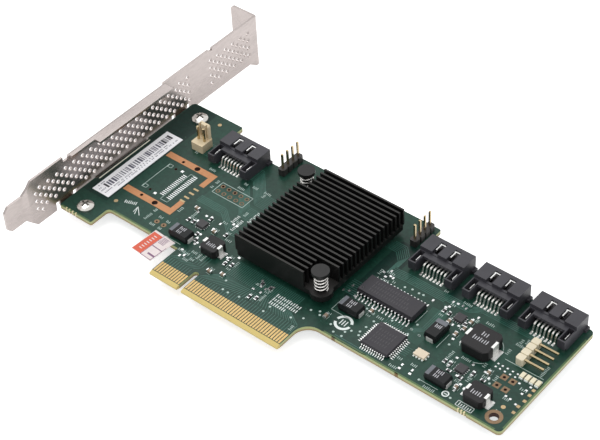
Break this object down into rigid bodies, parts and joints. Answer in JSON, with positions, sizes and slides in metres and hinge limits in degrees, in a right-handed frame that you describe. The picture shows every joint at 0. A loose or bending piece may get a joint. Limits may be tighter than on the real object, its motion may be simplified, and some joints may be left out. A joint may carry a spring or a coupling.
{
  "type": "raid controller card",
  "caption": "Green expansion card with gold edge contacts, perforated bent steel bracket, finned black heatsink on spring pins and black drive receptacles along its upper edge.",
  "frame": {"origin": "centre of the key notch in the connector tab, on the tab's lower edge, on the component-side surface of the board", "axes": "+X along the board away from the bracket, +Y across the board from the connector tab to the drive receptacles, +Z out of the component side; the card lies flat with its components up"},
  "size_m": [0.178, 0.12, 0.0208],
  "materials": {
    "anodised_black": "black anodised aluminium",
    "bracket_steel": "plated sheet steel",
    "ceramic_cream": "cream ceramic",
    "ceramic_tan": "tan ceramic",
    "contact_gold": "gold plated",
    "copper": "bare copper",
    "ferrite": "dark ferrite",
    "header_black": "moulded black",
    "header_cream": "moulded cream",
    "label_white": "white label stock",
    "package_black": "moulded epoxy",
    "pad_grey": "soft thermal pad",
    "pin_black": "moulded black",
    "receptacle_plastic": "moulded black",
    "screw_steel": "plated steel",
    "solder_mask": "satin green solder mask over glass fibre",
    "sticker_red": "red and white paper",
    "tin": "matte tin"
  },
  "bodies": {
    "root": {"barcode_label": "label_white", "bare_copper": "copper", "bracket": "bracket_steel", "bracket_screws": "screw_steel", "chip_capacitors": "ceramic_tan", "chip_end_caps": "tin", "chip_resistors": "package_black", "circuit_board": "solder_mask", "controller_chip": "package_black", "edge_contacts": "contact_gold", "heatsink": "anodised_black", "inductor_cores": "ferrite", "inductor_terminals": "tin", "led_header_1": "header_black", "led_header_1_pins": "contact_gold", "led_header_2": "header_black", "led_header_2_pins": "contact_gold", "lock_header": "header_cream", "lock_header_pins": "contact_gold", "logic_chip": "package_black", "logic_chip_leads": "tin", "memory_chip": "package_black", "memory_chip_leads": "tin", "plated_pads": "contact_gold", "push_pin_springs": "screw_steel", "push_pins": "pin_black", "regulator_chips": "package_black", "resistor_network": "ceramic_cream", "sata_clips": "tin", "sata_contacts_1": "contact_gold", "sata_contacts_2": "contact_gold", "sata_contacts_3": "contact_gold", "sata_contacts_4": "contact_gold", "sata_housing_1": "receptacle_plastic", "sata_housing_2": "receptacle_plastic", "sata_housing_3": "receptacle_plastic", "sata_housing_4": "receptacle_plastic", "seal_sticker": "sticker_red", "side_header": "header_cream", "side_header_pins": "contact_gold", "status_lamps": "ceramic_cream", "tantalum_capacitors": "package_black", "tantalum_terminals": "tin", "thermal_pad": "pad_grey"}
  },
  "joints": []
}
